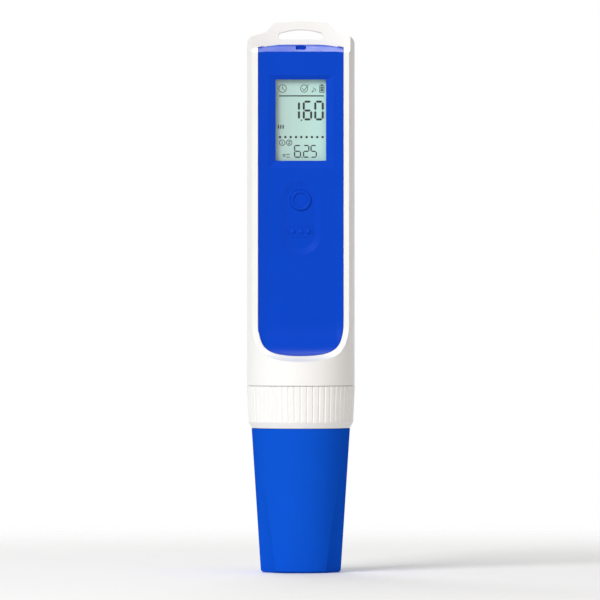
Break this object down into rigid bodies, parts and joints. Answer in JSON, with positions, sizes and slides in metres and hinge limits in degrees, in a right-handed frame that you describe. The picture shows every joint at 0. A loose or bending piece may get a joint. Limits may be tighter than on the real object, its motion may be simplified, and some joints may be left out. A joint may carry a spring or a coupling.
{
  "type": "ph meter pen",
  "caption": "Handheld pH meter pen: white housing with blue front panel, display and keys, ribbed screw collar for the probe, and tapered storage cap.",
  "frame": {"origin": "centre of the flat base of the storage cap, at the bottom of the pen", "axes": "+Z along the pen from the cap to the lanyard loop, display and keys face -Y, +X to the reader's right when facing the display"},
  "size_m": [0.0373, 0.0372, 0.19],
  "materials": {
    "white_shell": "satin moulded white",
    "blue_panel": "fine satin blue",
    "blue_cap": "satin moulded blue",
    "clear_window": "clear, glossy",
    "lcd": "pale green-grey reflective display",
    "diffuser": "milky",
    "elastomer": "soft",
    "dark_plastic": "moulded",
    "white_plastic": "moulded",
    "board": "solder mask",
    "chips": "moulded",
    "steel": "bright",
    "brass": "turned",
    "cell_wrap": "plain wrap",
    "ribbon": "amber film",
    "seal_rubber": "soft",
    "probe_plastic": "moulded dark grey",
    "guard_plastic": "moulded dark grey",
    "gold_pins": "gold plated",
    "bulb_glass": "thin clear glass",
    "silver": "silver wire",
    "porous_plug": "porous white",
    "graphite": "graphite",
    "sponge": "open foam"
  },
  "bodies": {
    "handset": {"housing": "white_shell", "face_panel": "blue_panel", "panel_gasket": "seal_rubber", "display_window": "clear_window", "lcd_module": "lcd", "light_guide": "diffuser", "zebra_strips": "elastomer", "lcd_frame": "dark_plastic", "circuit_board": "board", "board_chips": "chips", "board_screws": "steel", "tactile_switches": "dark_plastic", "battery_tray": "dark_plastic", "left_cell": "cell_wrap", "right_cell": "cell_wrap", "battery_springs": "steel", "battery_plates": "steel", "door_inserts": "brass", "probe_socket": "dark_plastic", "signal_ribbon": "ribbon"},
    "mode_button": {"mode_key": "blue_panel", "mode_plunger": "white_plastic"},
    "calibration_button": {"calibration_key": "blue_panel", "calibration_plunger": "white_plastic"},
    "door": {"battery_door": "white_shell", "door_gasket": "seal_rubber", "door_screws": "steel"},
    "probe": {"probe_body": "probe_plastic", "probe_guard": "guard_plastic", "probe_pins": "gold_pins", "plug_ring": "seal_rubber", "cap_ring": "seal_rubber", "ph_glass": "bulb_glass", "reference_wire": "silver", "reference_junction": "porous_plug", "conductivity_pins": "graphite", "temperature_sensor": "steel"},
    "collar": {"collar_ring": "white_shell"},
    "cap": {"storage_cap": "blue_cap", "storage_sponge": "sponge"}
  },
  "joints": [
    {"name": "mode_press", "type": "slide", "parent": "handset", "child": "mode_button", "axis": [0, 1, 0], "range_m": [0, 0.0004], "stiffness_N_per_m": 400},
    {"name": "calibration_press", "type": "slide", "parent": "handset", "child": "calibration_button", "axis": [0, 1, 0], "range_m": [0, 0.0004], "stiffness_N_per_m": 400},
    {"name": "door_lift", "type": "slide", "parent": "handset", "child": "door", "axis": [0, 1, 0], "range_m": [0, 0.02]},
    {"name": "probe_drop", "type": "slide", "parent": "handset", "child": "probe", "axis": [0, 0, -1], "range_m": [0, 0.006]},
    {"name": "collar_turn", "type": "hinge", "parent": "probe", "child": "collar", "pos_m": [0, 0, 0.057], "axis": [0, 0, -1], "range_deg": [0, 1080]},
    {"name": "cap_pull", "type": "slide", "parent": "probe", "child": "cap", "axis": [0, 0, -1], "range_m": [0, 0.045]}
  ],
  "couplings": [
    {"joint": "probe_drop", "follows": "collar_turn", "m_per_rad": 0.00031831}
  ]
}
